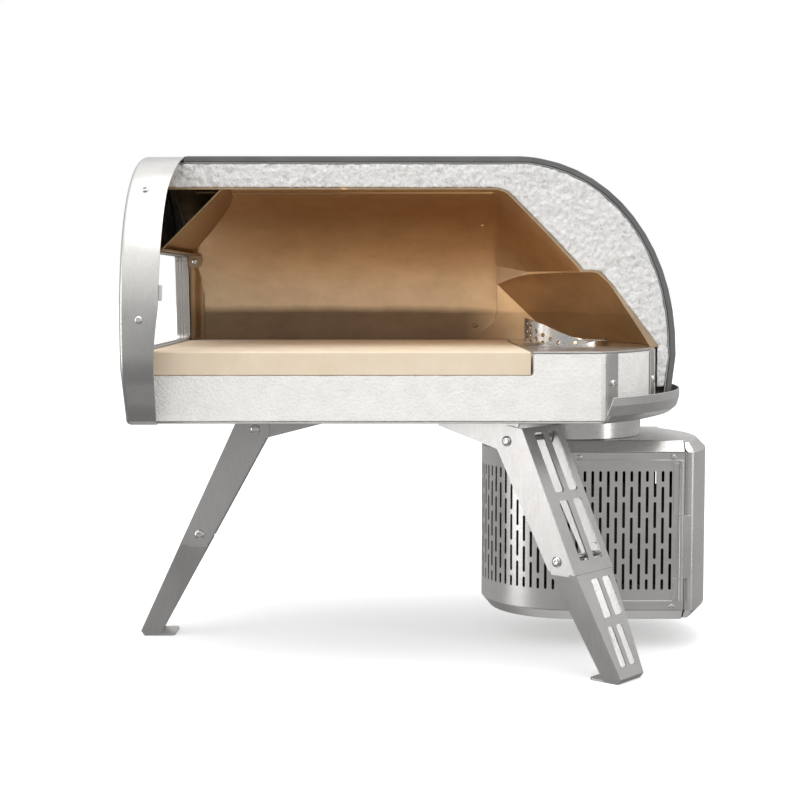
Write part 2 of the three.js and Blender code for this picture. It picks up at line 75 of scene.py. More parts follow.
class Graph:
    """A short way to wire a material's nodes."""

    def __init__(self, name):
        self.material = bpy.data.materials.new(name)
        self.material.use_nodes = True
        self.tree = self.material.node_tree
        self.shader = self.tree.nodes["Principled BSDF"]
        self.place = self.add("ShaderNodeTexCoord").outputs["Object"]

    def add(self, kind, **values):
        node = self.tree.nodes.new(kind)
        for key, value in values.items():
            setattr(node, key, value)
        return node

    def join(self, source, target):
        self.tree.links.new(source, target)

    def put(self, socket, value):
        if isinstance(value, bpy.types.NodeSocket):
            self.join(value, socket)
        else:
            socket.default_value = value

    def noise(self, scale, stretch=EVEN, detail=3.0, rough=0.55, distortion=0.0):
        mapping = self.add("ShaderNodeMapping")
        mapping.inputs["Scale"].default_value = stretch
        self.join(self.place, mapping.inputs["Vector"])
        node = self.add("ShaderNodeTexNoise")
        node.inputs["Scale"].default_value = scale
        node.inputs["Detail"].default_value = detail
        node.inputs["Roughness"].default_value = rough
        node.inputs["Distortion"].default_value = distortion
        self.join(mapping.outputs[0], node.inputs["Vector"])
        return node.outputs["Fac"]

    def cells(self, scale):
        node = self.add("ShaderNodeTexVoronoi", feature="F1")
        node.inputs["Scale"].default_value = scale
        self.join(self.place, node.inputs["Vector"])
        return node.outputs["Distance"]

    def span(self, value, low, high, to_low=0, to_high=1):
        """Takes the range low to high to a new one."""
        node = self.add("ShaderNodeMapRange")
        for key, number in zip(("From Min", "From Max", "To Min", "To Max"), (low, high, to_low, to_high)):
            node.inputs[key].default_value = number
        self.put(node.inputs["Value"], value)
        return node.outputs["Result"]

    def spread(self, value, to_low=0, to_high=1):
        """Takes the middle of a noise, where most of it lies, to a new range."""
        return self.span(value, 0.3, 0.7, to_low, to_high)

    def ramp(self, value, stops):
        node = self.add("ShaderNodeValToRGB")
        set_stops(node.color_ramp, stops)
        self.put(node.inputs["Fac"], value)
        return node.outputs["Color"]

    def blend(self, how, share, a, b):
        node = self.add("ShaderNodeMix", data_type="RGBA", blend_type=how)
        self.put(node.inputs["Factor"], share)
        self.put(node.inputs["A"], a if isinstance(a, bpy.types.NodeSocket) else (*a, 1))
        self.put(node.inputs["B"], b if isinstance(b, bpy.types.NodeSocket) else (*b, 1))
        return node.outputs["Result"]

    def darken(self, colour, share, value, start, shade, end):
        """Multiplies a colour by a ramp over value, from shade at start to white at end."""
        return self.blend("MULTIPLY", share, colour, self.ramp(value, [(start, shade), (end, WHITE)]))

    def axis(self, letter):
        node = self.add("ShaderNodeSeparateXYZ")
        self.join(self.place, node.inputs[0])
        return node.outputs[letter]

    def sum(self, a, b):
        node = self.add("ShaderNodeMath", operation="ADD")
        self.put(node.inputs[0], a)
        self.put(node.inputs[1], b)
        return node.outputs[0]

    def bump(self, height, distance, strength, under=None):
        node = self.add("ShaderNodeBump")
        node.inputs["Distance"].default_value = distance
        node.inputs["Strength"].default_value = strength
        self.join(height, node.inputs["Height"])
        if under is not None:
            self.join(under, node.inputs["Normal"])
        return node.outputs["Normal"]

    def finish(self, colour, roughness, normal=None, **fixed):
        for key, value in fixed.items():
            self.shader.inputs[key.replace("_", " ")].default_value = value
        self.put(self.shader.inputs["Base Color"], colour)
        self.put(self.shader.inputs["Roughness"], roughness)
        if normal is not None:
            self.join(normal, self.shader.inputs["Normal"])
        return self.material


def steel(name, tint, rough=0.3, grain=EVEN, depth=0.00002, cloud=0.12):
    """Brushed or satin stainless steel; grain is the noise stretch, small along the brushing."""
    g = Graph(name)
    lines = g.noise(2600, grain, detail=2)
    patches = g.noise(14, detail=4)
    specks = g.noise(420, grain, detail=2)
    dark = tuple(c * (1 - cloud) for c in tint)
    colour = g.blend("MIX", g.span(patches, 0.35, 0.65), dark, tint)
    colour = g.darken(colour, 0.35, specks, 0.3, (0.82,) * 3, 0.7)
    roughness = g.sum(g.spread(lines, rough - 0.06, rough + 0.06), g.spread(patches, -0.04, 0.05))
    return g.finish(colour, roughness, g.bump(lines, depth, 0.35), Metallic=1.0)


def heat_tint_painted_light_steel(name, low, mid, high, z_low, z_mid, z_high):
    """Steel tinted by heat, with the warm light of a flame painted into its colour: low is its colour up to z_low,
    mid at z_mid and high from z_high.
    """
    g = Graph(name)
    drift = g.spread(g.noise(9, detail=4), -0.012, 0.012)
    height = g.sum(g.axis("Z"), drift)
    waver = g.spread(g.noise(12, detail=2), -0.0012, 0.0012)
    above = g.span(g.sum(g.axis("Z"), waver), z_low, z_mid)
    # Painted flame light: the dark low band fades out behind the stone, towards the flame
    behind = g.span(g.axis("X"), 0.05, 0.11, 0, 0.8)
    lower = g.blend("MIX", g.sum(above, behind), low, mid)
    colour = g.blend("MIX", g.span(height, z_mid, z_high), lower, high)
    stains = g.noise(30, (1, 1, 1.6), detail=6, rough=0.7)
    colour = g.darken(colour, 0.45, stains, 0.3, (0.7, 0.66, 0.62), 0.6)
    grain = g.noise(2300, (0.5, 0.5, 1), detail=2)
    return g.finish(colour, g.spread(grain, 0.35, 0.49), g.bump(grain, 0.00003, 0.4), Metallic=1.0)


def wool_material():
    g = Graph("ceramic_wool_fluff")
    tufts = g.noise(210, detail=6, rough=0.7, distortion=0.6)
    fuzz = g.noise(1500, detail=4, rough=0.7)
    knots = g.cells(330)
    # Painted shade: the wool turns grey where the tufts and the fuzz sink in their bumps, as shade in its hollows
    tuft_hollow_shade = [(0.32, (0.66, 0.65, 0.64)), (0.48, (0.96, 0.953, 0.945)), (0.7, (1, 0.995, 0.985))]
    shade = g.ramp(tufts, tuft_hollow_shade)
    colour = g.darken(shade, 0.3, fuzz, 0.35, (0.7, 0.69, 0.68), 0.6)
    normal = g.bump(tufts, 0.003, 0.8)
    normal = g.bump(knots, 0.0012, 0.5, normal)
    normal = g.bump(fuzz, 0.0007, 0.8, normal)
    return g.finish(colour, 1.0, normal, Sheen_Weight=0.25, Specular_IOR_Level=0.1)


def board_material():
    g = Graph("fibre_board_pitted")
    fine = g.noise(900, detail=5, rough=0.7)
    pits = g.cells(420)
    patches = g.noise(60, detail=4)
    colour = g.blend("MIX", g.spread(patches), (0.86, 0.845, 0.81), (0.93, 0.92, 0.89))
    # Painted shade: darker in the pits, where the same cells sink the bump
    colour = g.darken(colour, 0.4, pits, 0.08, (0.72, 0.7, 0.66), 0.3)
    normal = g.bump(pits, 0.0012, 0.45)
    normal = g.bump(fine, 0.0007, 0.6, normal)
    return g.finish(colour, 0.97, normal, Specular_IOR_Level=0.15)


def stone_material():
    g = Graph("baking_stone_cream")
    sand = g.noise(1700, detail=4, rough=0.75)
    cloud = g.noise(24, detail=5)
    grit = g.cells(900)
    colour = g.blend("MIX", g.span(cloud, 0.32, 0.68), (0.80, 0.66, 0.49), (0.88, 0.75, 0.59))
    colour = g.darken(colour, 0.3, grit, 0.1, (0.76, 0.68, 0.6), 0.32)
    colour = g.darken(colour, 0.2, sand, 0.35, (0.8, 0.76, 0.7), 0.65)
    return g.finish(colour, 0.85, g.bump(sand, 0.0005, 0.5), Specular_IOR_Level=0.25)


def silicone_material():
    g = Graph("silicone_matt_grey")
    dust = g.noise(35, detail=5)
    skin = g.noise(1300, detail=3)
    colour = g.blend("MIX", g.spread(dust), (0.115, 0.118, 0.118), (0.155, 0.157, 0.156))
    return g.finish(colour, g.spread(dust, 0.55, 0.68), g.bump(skin, 0.0002, 0.35), Specular_IOR_Level=0.45)


def dark_material():
    g = Graph("dark_heat_blued_steel")
    cloud = g.noise(40, detail=5)
    grain = g.noise(1900, detail=2)
    colour = g.blend("MIX", g.spread(cloud), (0.035, 0.034, 0.034), (0.09, 0.085, 0.08))
    return g.finish(colour, g.spread(grain, 0.42, 0.6), g.bump(grain, 0.00003, 0.4), Metallic=0.85)


BRIGHT = steel("steel_satin", (0.66, 0.645, 0.625), 0.34)
BEZEL_STEEL = steel("steel_front_arch", (0.64, 0.63, 0.61), 0.3, (1, 1, 0.25))
LEG_STEEL = steel("steel_legs", (0.7, 0.68, 0.665), 0.36, (1, 1, 0.12))
BURNER_STEEL = steel("steel_burner", (0.78, 0.765, 0.745), 0.33, (0.12, 0.12, 1))
NECK_STEEL = steel("steel_neck", (0.74, 0.725, 0.71), 0.24, (0.3, 0.3, 1))
TRAY_STEEL = steel("steel_tray", (0.72, 0.71, 0.695), 0.34, (0.15, 0.15, 1))
POLISHED = steel("steel_polished", (0.78, 0.775, 0.765), 0.16, EVEN, 0.00001, 0.05)
# Painted light: the liner's gold is heat tint with the flame's warm light painted in, and the return and the
# baffle take darker copies of it as painted shade
LINER_STEEL = heat_tint_painted_light_steel(
    "steel_liner_heat_tint_painted_flame_light", (0.24, 0.17, 0.11), (0.84, 0.64, 0.43), (0.66, 0.48, 0.31), 0.3195, 0.3285, 0.430
)
RETURN_STEEL = heat_tint_painted_light_steel(
    "steel_return_heat_tint_painted_shade", (0.2, 0.145, 0.09), (0.34, 0.25, 0.16), (0.3, 0.22, 0.14), 0.315, 0.335, 0.400
)
BAFFLE_STEEL = heat_tint_painted_light_steel(
    "steel_baffle_heat_tint_painted_shade", (0.45, 0.33, 0.21), (0.52, 0.39, 0.25), (0.42, 0.31, 0.2), 0.380, 0.410, 0.450
)
WOOL = wool_material()
BOARD = board_material()
STONE = stone_material()
SILICONE = silicone_material()
DARK = dark_material()


# ---------------------------------------------------------------- mesh helpers

FLAT_ANGLE = math.radians(0.4)


def copy_of(node):
    """The CAD node's solid with its flat faces whole again."""
    bm = bmesh.new()
    bm.from_mesh(NODES[node].data)
    bmesh.ops.remove_doubles(bm, verts=bm.verts, dist=0.02 * MM)
    bmesh.ops.dissolve_limit(
        bm, angle_limit=FLAT_ANGLE, use_dissolve_boundaries=False, verts=bm.verts, edges=bm.edges
    )
    return bm


def make(name, bm, material, body=OVEN, replaces=(), sharp=32, bevel=0.0, segments=2):
    """An object from a bmesh, riding on a body. sharp is in degrees and bevel in millimetres."""
    bm.normal_update()
    mesh = bpy.data.meshes.new(name)
    bm.to_mesh(mesh)
    bm.free()
    mesh.materials.append(material)
    mesh.shade_smooth()
    mesh.set_sharp_from_angle(angle=math.radians(sharp))
    piece = bpy.data.objects.new(name, mesh)
    bpy.context.scene.collection.objects.link(piece)
    if bevel:
        edge = piece.modifiers.new("edge", "BEVEL")
        edge.width = bevel * MM
        edge.segments = segments
        edge.limit_method = "ANGLE"
        edge.angle_limit = math.radians(sharp)
        even = piece.modifiers.new("normals", "WEIGHTED_NORMAL")
        even.keep_sharp = True
        even.weight = 100
    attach(piece, body)
    if replaces:
        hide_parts(*replaces)
    return piece


def redo(node, name, material, bevel, sharp=32, segments=2):
    """A finished piece in the CAD node's own shape, with rounded edges and smooth curves."""
    return make(name, copy_of(node), material, BODY_OF[node], (node,), sharp, bevel, segments)


def bake(piece):
    """The piece's mesh with its modifiers applied."""
    bpy.context.view_layer.update()
    graph = bpy.context.evaluated_depsgraph_get()
    final = piece.evaluated_get(graph)
    mesh = bpy.data.meshes.new_from_object(final, preserve_all_data_layers=False, depsgraph=graph)
    piece.modifiers.clear()
    old, piece.data = piece.data, mesh
    bpy.data.meshes.remove(old)
    return mesh


def box_mesh(low, high):
    """A solid box between two corners."""
    bm = bmesh.new()
    middle = (Vector(low) + Vector(high)) / 2
    size = Vector(high) - Vector(low)
    bmesh.ops.create_cube(bm, size=1, matrix=Matrix.Translation(middle) @ Matrix.Diagonal((*size, 1)))
    return bm


def loose(name, bm):
    """An object that rides on nothing: the floor, or a step on the way to a piece."""
    mesh = bpy.data.meshes.new(name)
    bm.to_mesh(mesh)
    bm.free()
    piece = bpy.data.objects.new(name, mesh)
    bpy.context.scene.collection.objects.link(piece)
    return piece


def taken(piece, *helpers):
    """A loose piece's mesh as a bmesh. The piece and its helpers are removed."""
    bake(piece)
    out = bmesh.new()
    out.from_mesh(piece.data)
    for gone in (piece, *helpers):
        mesh = gone.data
        bpy.data.objects.remove(gone)
        bpy.data.meshes.remove(mesh)
    return out


def clip(bm, low, high, how):
    """The solid's part inside (INTERSECT) or outside (DIFFERENCE) a box, as a bmesh."""
    piece, cutter = loose("clip_piece", bm), loose("clip_box", box_mesh(low, high))
    cut = piece.modifiers.new("cut", "BOOLEAN")
    cut.operation = how
    cut.solver = "EXACT"
    cut.object = cutter
    return taken(piece, cutter)


def split_at(node, cut_y):
    """A CAD node's solid in two: the part in front of cut_y, and the rest."""
    low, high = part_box(node)
    beyond = 0.1
    start = low - Vector((beyond,) * 3)
    end = (high.x + beyond, cut_y, high.z + beyond)
    return [clip(copy_of(node), start, end, how) for how in ("INTERSECT", "DIFFERENCE")]


def remesh(bm, voxel):
    """The solid as even small faces, about voxel millimetres across."""
    piece = loose("remesh_piece", bm)
    step = piece.modifiers.new("voxels", "REMESH")
    step.mode = "VOXEL"
    step.voxel_size = voxel * MM
    return taken(piece)


def add_to(bm, other):
    """Adds other's shells to bm."""
    mesh = bpy.data.meshes.new("joined")
    other.to_mesh(mesh)
    other.free()
    bm.from_mesh(mesh)
    bpy.data.meshes.remove(mesh)


def add_grid(bm, rows, closed=False):
    """Faces between neighbouring rows of vertices; closed joins each row's ends."""
    for a, b in zip(rows, rows[1:]):
        for i in range(len(a) if closed else len(a) - 1):
            j = (i + 1) % len(a)
            bm.faces.new((a[i], a[j], b[j], b[i]))


def arc(cx, cy, r, start, sweep, steps):
    """Points on an arc about (cx, cy), with its angles in degrees."""
    angles = [math.radians(start + sweep * i / steps) for i in range(steps + 1)]
    return [(cx + r * math.cos(a), cy + r * math.sin(a)) for a in angles]


def lathe(profile, centre, axis, steps):
    """A closed solid turned from (radius, height) pairs about an axis; radius 0 closes an end."""
    bm = bmesh.new()
    turn = Vector(axis).normalized().to_track_quat("Z", "Y").to_matrix()
    rings = []
    for r, h in profile:
        if r == 0:
            rings.append([bm.verts.new(Vector(centre) + turn @ Vector((0, 0, h)))])
            continue
        ring = []
        for i in range(steps):
            a = 2 * math.pi * i / steps
            ring.append(bm.verts.new(Vector(centre) + turn @ Vector((r * math.cos(a), r * math.sin(a), h))))
        rings.append(ring)
    for low, high in zip(rings, rings[1:]):
        for i in range(steps):
            j = (i + 1) % steps
            corners = [low[i % len(low)], low[j % len(low)], high[j % len(high)], high[i % len(high)]]
            unique = list(dict.fromkeys(corners))
            if len(unique) > 2:
                bm.faces.new(unique)
    bmesh.ops.recalc_face_normals(bm, faces=bm.faces)
    return bm


def socket_head(name, centre, normal, r, height, material=POLISHED):
    """A round button head on the oven body, with a round recess. r and height are in millimetres."""
    r, height, sink = r * MM, height * MM, 0.6 * MM
    button = ((1, 0.25), (0.93, 0.62), (0.74, 0.92), (0.5, 1))
    profile = [(0, -sink), (r, -sink)] + [(r * out, height * up) for out, up in button]
    bm = lathe(profile, centre, normal, 24)
    turn = Vector(normal).normalized().to_track_quat("Z", "Y").to_matrix()

    def local(vert):
        return turn.transposed() @ (vert.co - Vector(centre))

    top = [v for v in bm.verts if abs(local(v).z - height) < 1e-7]
    recess = bm.faces.new(sorted(top, key=lambda v: math.atan2(*local(v).xy)))
    for ledge in (0.12, 0.03):
        bmesh.ops.inset_region(bm, faces=[recess], thickness=r * ledge, depth=0)
    bmesh.ops.translate(bm, verts=recess.verts, vec=turn @ Vector((0, 0, -height * 0.55)))
    bmesh.ops.recalc_face_normals(bm, faces=bm.faces)
    make(name, bm, material, OVEN, sharp=40)


def hit(node, origin, direction):
    """Where a line from origin first meets a CAD node: (point, outward normal)."""
    bm = bmesh.new()
    bm.from_mesh(NODES[node].data)
    point, normal, _, _ = BVHTree.FromBMesh(bm).ray_cast(Vector(origin), Vector(direction).normalized())
    bm.free()
    return point, normal


def drop_spare(bm, distance):
    """Removes vertices that no face uses, and joins those closer than distance."""
    bmesh.ops.delete(bm, geom=[v for v in bm.verts if not v.link_faces], context="VERTS")
    bmesh.ops.remove_doubles(bm, verts=bm.verts, dist=distance)


def sheet_from_plan(outline, holes, keep, place, columns=()):
    """An open sheet from an unrolled plan in mm: loops become a triangle mesh, which place puts in 3-D."""
    points, edges = [], []
    for loop in [outline, *holes]:
        start = len(points)
        points += [Vector(p) for p in loop]
        edges += [(start + i, start + (i + 1) % len(loop)) for i in range(len(loop))]
    for a, b in columns:
        points += [Vector(a), Vector(b)]
        edges.append((len(points) - 2, len(points) - 1))
    flat, _, faces, _, _, _ = delaunay_2d_cdt(points, edges, [], 0, 1e-5)
    bm = bmesh.new()
    verts = [bm.verts.new(place(p.x, p.y)) for p in flat]
    for face in faces:
        middle = sum((flat[i] for i in face), Vector((0, 0))) / len(face)
        if keep(middle.x, middle.y):
            bm.faces.new([verts[i] for i in face])
    drop_spare(bm, 1e-6)
    return bm


def thicken(piece, thickness, inwards=True, even=True):
    """Gives an open sheet its thickness, in millimetres, with crisp rims."""
    skin = piece.modifiers.new("sheet", "SOLIDIFY")
    skin.thickness = thickness * MM
    skin.offset = -1 if inwards else 1
    skin.use_even_offset = even
    mesh = bake(piece)
    mesh.shade_smooth()
    mesh.set_sharp_from_angle(angle=math.radians(40))


def face_outwards(bm, middle):
    """Turns an open sheet's faces away from an upright axis through middle."""
    bmesh.ops.recalc_face_normals(bm, faces=bm.faces)
    lean = 0.0
    for face in bm.faces:
        away = face.calc_center_median() - Vector(middle)
        lean += face.normal.dot(Vector((away.x, away.y, 0))) * face.calc_area()
    if lean < 0:
        bmesh.ops.reverse_faces(bm, faces=bm.faces)


# ---------------------------------------------------------------- camera, floor, light

CAMERA_PLACE = (-0.02745, -1.555, 0.347)
CAMERA_TILT, CAMERA_TURN = 90 - 4.118, -0.184
LENS, SENSOR = 70, 36
# The sky's grey from straight down (0) over the horizon (0.5) to straight up (1)
SKY = (
    (0.0, 0.6), (0.06, 0.5), (0.12, 0.24), (0.32, 0.28), (0.42, 0.46),
    (0.6, 0.5), (0.7, 0.72), (0.8, 1.15), (1.0, 1.3),
)
# Name, place, aimed at, width, height, watts, colour
LAMPS = (
    ("top_softbox", (-0.1, -0.2, 1.9), (0, 0, 0.2), 1.8, 1.8, 12, WHITE),
    ("front_softbox", (-0.2, -2.6, 0.5), (0, 0, 0.25), 2.0, 1.0, 9, WHITE),
    ("left_softbox", (-2.1, -0.75, 0.45), (-0.1, 0, 0.25), 1.1, 1.7, 11.5, WHITE),
    ("right_softbox", (2.0, -1.1, 0.5), (0.1, 0, 0.2), 0.35, 1.3, 4.5, WHITE),
    ("chamber_glow", (0.02, -0.03, 0.425), (-0.02, 0.05, 0.32), 0.2, 0.1, 0.06, (1, 0.8, 0.58)),
    ("flame_glow", (0.12, -0.03, 0.325), (0.2, 0.02, 0.375), 0.08, 0.05, 0.05, (1, 0.78, 0.52)),
)


def make_camera(scene):
    camera = bpy.data.objects.new("camera", bpy.data.cameras.new("camera"))
    scene.collection.objects.link(camera)
    camera.data.lens = LENS
    camera.data.sensor_width = SENSOR
    camera.location = CAMERA_PLACE
    camera.rotation_euler = (math.radians(CAMERA_TILT), 0, math.radians(CAMERA_TURN))
    scene.camera = camera


def make_floor():
    """White to the camera and mid grey to all else, so that it throws less light up at the part."""
    g = Graph("floor_white")
    glow = {"Emission_Color": (1, 1, 1, 1), "Emission_Strength": 0.32}
    g.finish((0.9, 0.9, 0.9, 1), 0.9, Specular_IOR_Level=0.0, **glow)
    seen = g.add("ShaderNodeLightPath").outputs["Is Camera Ray"]
    dim = g.add("ShaderNodeBsdfDiffuse")
    dim.inputs["Color"].default_value = (0.5, 0.5, 0.5, 1)
    either = g.add("ShaderNodeMixShader")
    g.join(seen, either.inputs[0])
    g.join(dim.outputs[0], either.inputs[1])
    g.join(g.shader.outputs[0], either.inputs[2])
    g.join(either.outputs[0], g.tree.nodes["Material Output"].inputs["Surface"])
    bm = bmesh.new()
    bmesh.ops.create_grid(bm, x_segments=1, y_segments=1, size=30)
    floor = loose("floor", bm)
    floor.data.materials.append(g.material)
    floor.visible_glossy = False


def make_sky(scene):
    """White to the camera, and a studio's greys in light and reflections."""
    world = bpy.data.worlds.new("studio")
    scene.world = world
    world.use_nodes = True
    tree = world.node_tree
    add, link = tree.nodes.new, tree.links.new
    background = tree.nodes["Background"]
    spot = add("ShaderNodeTexCoord")
    parts = add("ShaderNodeSeparateXYZ")
    link(spot.outputs["Generated"], parts.inputs[0])
    up = add("ShaderNodeValToRGB")
    set_stops(up.color_ramp, [(position, (grey,) * 3) for position, grey in SKY])
    lift = add("ShaderNodeMapRange")
    lift.inputs["From Min"].default_value = -1
    link(parts.outputs["Z"], lift.inputs["Value"])
    link(lift.outputs["Result"], up.inputs["Fac"])
    sight = add("ShaderNodeLightPath")
    choose = add("ShaderNodeMix")
    choose.data_type = "RGBA"
    link(sight.outputs["Is Camera Ray"], choose.inputs["Factor"])
    link(up.outputs["Color"], choose.inputs["A"])
    choose.inputs["B"].default_value = (1, 1, 1, 1)
    link(choose.outputs["Result"], background.inputs["Color"])
    background.inputs["Strength"].default_value = 1.0


def make_lamps(scene):
    for name, place, target, width, height, power, colour in LAMPS:
        data = bpy.data.lights.new(name, "AREA")
        data.shape = "RECTANGLE"
        data.size, data.size_y, data.energy, data.color = width, height, power, colour
        lamp = bpy.data.objects.new(name, data)
        lamp.location = place
        aim = Vector(target) - Vector(place)
        lamp.rotation_euler = aim.to_track_quat("-Z", "Y").to_euler()
        scene.collection.objects.link(lamp)
        lamp.visible_glossy = name != "front_softbox"
        lamp.visible_camera = name != "flame_glow"


def make_stage():
    scene = bpy.context.scene
    scene.view_settings.view_transform = "Standard"
    make_camera(scene)
    make_floor()
    make_sky(scene)
    make_lamps(scene)


# ---------------------------------------------------------------- dome

def tuft(place, size, octaves):
    """Smooth noise about 0, with lumps about size millimetres across."""
    return noise.fractal(Vector(place) / (size * MM), 0.9, 2.1, octaves, noise_basis="PERLIN_ORIGINAL")


def make_wool():
    """Torn fibre on the cut face: a fine front slab with lumps and pits, and the plain rest behind it."""
    cut_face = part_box("dome_insulation")[0].y
    slab, torn = 16 * MM, 5 * MM
    front, rest = split_at("dome_insulation", cut_face + slab)
    front = remesh(front, 1.15)
    for v in front.verts:
        share = max(0.0, 1 - (v.co.y - cut_face) / torn)
        if share <= 0:
            continue
        lumps = tuft(v.co, 15, 3)
        curls = tuft(v.co + Vector((3, 1, 7)), 5, 5)
        v.co.y -= (1.1 * lumps + 1.3 * curls + 0.2) * MM * share
        v.co.x += 0.5 * MM * share * tuft(v.co + Vector((9, 2, 4)), 4, 3)
        v.co.z += 0.5 * MM * share * tuft(v.co + Vector((5, 8, 1)), 4, 3)
    add_to(front, rest)
    make("dome_wool", front, WOOL, OVEN, ("dome_insulation",), sharp=80)


def make_board():
    """Pressed fibre board: the seen side is finely pitted, with soft arrises."""
    cut_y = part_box("base_insulation")[0].y + 42 * MM
    front, rest = split_at("base_insulation", cut_y)
    front = remesh(front, 1.5)
    front.normal_update()
    for v in front.verts:
        if v.co.y < cut_y - 4 * MM:
            pit = min(0.0, tuft(v.co, 3.5, 4) + 0.15)
            v.co += v.normal * (0.55 * pit + 0.12 * tuft(v.co + Vector((4, 4, 4)), 22, 2)) * MM
    add_to(front, rest)
    make("base_board", front, BOARD, OVEN, ("base_insulation",), sharp=80)


def arch_point(e, half, rise, spring, power):
    """A point on a squared-off half ellipse that stands on the height spring; e is 0 at its side."""
    out = max(0.0, math.cos(e)) ** (2 / power)
    up = math.sin(e) ** (2 / power)
    return half * out, spring + rise * up


def make_baffle_tab():
    """A tab folded down from the baffle's lip, with a socket screw through it."""
    low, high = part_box("baffle_bracket")
    x0, x1, y = low.x - 11 * MM, low.x + 3 * MM, high.y - 9 * MM
    z0, z1 = high.z - 13 * MM, high.z
    r = 3 * MM
    outline = [(x0, z1), (x1, z1), *arc(x1 - r, z0 + r, r, 0, -90, 5), *arc(x0 + r, z0 + r, r, -90, -90, 5)]
    bm = bmesh.new()
    bm.faces.new([bm.verts.new((x, y, z)) for x, z in outline])
    bm.normal_update()
    tab = make("baffle_tab", bm, BAFFLE_STEEL, OVEN, ("baffle_bracket",))
    thicken(tab, 1.2)
    socket_head("baffle_tab_screw", ((x0 + x1) / 2, y - 1.4 * MM, (z0 + z1) / 2), (0, -1, 0), 3.1, 1.8)


def make_liner_return():
    """The wall's front end turns in towards the mouth's frame in a shallow curve."""
    low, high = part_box("inner_liner")
    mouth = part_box("mouth_frame")[1]
    start = Vector((mouth.x + 0.8 * MM, mouth.y - 1.5 * MM))
    end = Vector((mouth.x + 15 * MM, high.y - 2.3 * MM))
    bm = bmesh.new()
    rows = []
    for k in range(9):
        z = low.z + 0.8 * MM + (mouth.z - low.z - 3 * MM) * k / 8
        row = []
        for i in range(13):
            t = i / 12
            ease = t * t * (3 - 2 * t)
            row.append(bm.verts.new((start.x + (end.x - start.x) * t, start.y + (end.y - start.y) * ease, z)))
        rows.append(row)
    add_grid(bm, rows)
    turned = make("liner_front_return", bm, RETURN_STEEL, OVEN)
    thicken(turned, 1.0)


# The chamber's arch over the floor, and the side panel's lower rear corner: x, z in metres
CHAMBER_SPRING, CHAMBER_RISE, CHAMBER_POWER = 0.328, 116 * MM, 2.6
PANEL_END, PANEL_FOOT = 0.071, 0.3165
LINER_SCREWS = ((0.0666, 0.4145), (0.0611, 0.306), (-0.2144, 0.432))


def make_side_panel():
    """A panel that laps over the far wall, from a rounded corner above the floor up to the ceiling."""
    low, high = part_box("inner_liner")
    lap = 0.9 * MM
    wall_y = high.y - 1.5 * MM
    x0, corner = low.x + 26 * MM, 14 * MM
    upright, top_angle = 0.2, math.radians(86)
    bm = bmesh.new()
    rows = []
    for k in range(41):
        t = k / 40
        if t < upright:
            y, z = wall_y - lap, PANEL_FOOT + (CHAMBER_SPRING - PANEL_FOOT) * (t / upright)
        else:
            e = top_angle * (t - upright) / (1 - upright)
            y, z = arch_point(e, wall_y - lap, CHAMBER_RISE - lap, CHAMBER_SPRING, CHAMBER_POWER)
        rounding = max(0.0, 1 - (z - PANEL_FOOT) / corner)
        inset = corner * (1 - math.sqrt(max(0.0, 1 - rounding ** 2)))
        rows.append([bm.verts.new((x0 + inset + (PANEL_END - x0 - inset) * i / 12, y, z)) for i in range(13)])
    add_grid(bm, rows)
    bmesh.ops.recalc_face_normals(bm, faces=bm.faces)
    panel = make("liner_side_panel", bm, LINER_STEEL, OVEN)
    thicken(panel, 0.8, inwards=panel.data.polygons[0].normal.y > 0)


def make_liner():
    redo("inner_liner", "liner_shell", LINER_STEEL, 0.3, 28)
    redo("front_baffle", "baffle_sheet", BAFFLE_STEEL, 0.3)
    make_baffle_tab()
    make_liner_return()
    make_side_panel()
    for index, (x, z) in enumerate(LINER_SCREWS):
        point, normal = hit("inner_liner", (x, -0.03, z), (0, 1, 0))
        socket_head(f"liner_screw_{index + 1}", point + normal * 0.9 * MM, normal, 2.6, 1.4, LINER_STEEL)


def make_jacket():
    redo("silicone_jacket", "dome_jacket", SILICONE, 1.2, 40, 3)
    redo("outer_shell", "dome_shell", BRIGHT, 0.2)


# ---------------------------------------------------------------- front

ARCH_SPRING, ARCH_POWER = 0.276, 2.3
# Half the distance between its feet
ARCH_FOOT_HALF = 0.186
# How far the arch leans: its front moves back by this share of the distance below its top
LEAN = 0.02
# The arch's rear edge: height in metres (None is the top), and millimetres in front of its rearmost point
ARCH_REAR = ((0.226, 9.3), (0.301, 7), (0.33, 4.1), (0.437, 3.9), (None, 0))
ARCH_SCREWS = ((-0.2531, 0.4353), (-0.2497, 0.3193))


def arch_outline(low, high):
    """The front arch's outline as (y, z) from one foot over the top to the other, in metres."""
    steps = 56
    half, rise = high.y, high.z - ARCH_SPRING
    foot = low.z
    bend = 6 * MM
    lip = [(-ARCH_FOOT_HALF + (12 - i * 2.0) * MM, foot) for i in range(4)]
    for i in range(1, 6):
        a = math.pi / 2 * i / 5
        lip.append((-ARCH_FOOT_HALF + bend - bend * math.sin(a), foot + bend - bend * math.cos(a)))
    knee = foot + bend
    flare = [(-ARCH_FOOT_HALF + (ARCH_FOOT_HALF - half) * t, knee + (ARCH_SPRING - foot - bend) * t)
             for t in (0.33, 0.66)]
    side = lip + flare
    over = []
    for i in range(steps + 1):
        e = math.pi * i / steps
        y, z = arch_point(min(e, math.pi - e), half, rise, ARCH_SPRING, ARCH_POWER)
        over.append((-y if e < math.pi / 2 else y, z))
    return side + over + [(-y, z) for y, z in reversed(side)]


def inward_ways(outline):
    """At each point of the arch's outline, the direction (y, z) square to it and into the arch."""
    ways = []
    for i in range(len(outline)):
        before, after = outline[max(i - 1, 0)], outline[min(i + 1, len(outline) - 1)]
        run = Vector((after[0] - before[0], after[1] - before[1])).normalized()
        ways.append(Vector((run.y, -run.x)))
    if ways[len(ways) // 2].y > 0:
        ways = [-v for v in ways]
    return ways


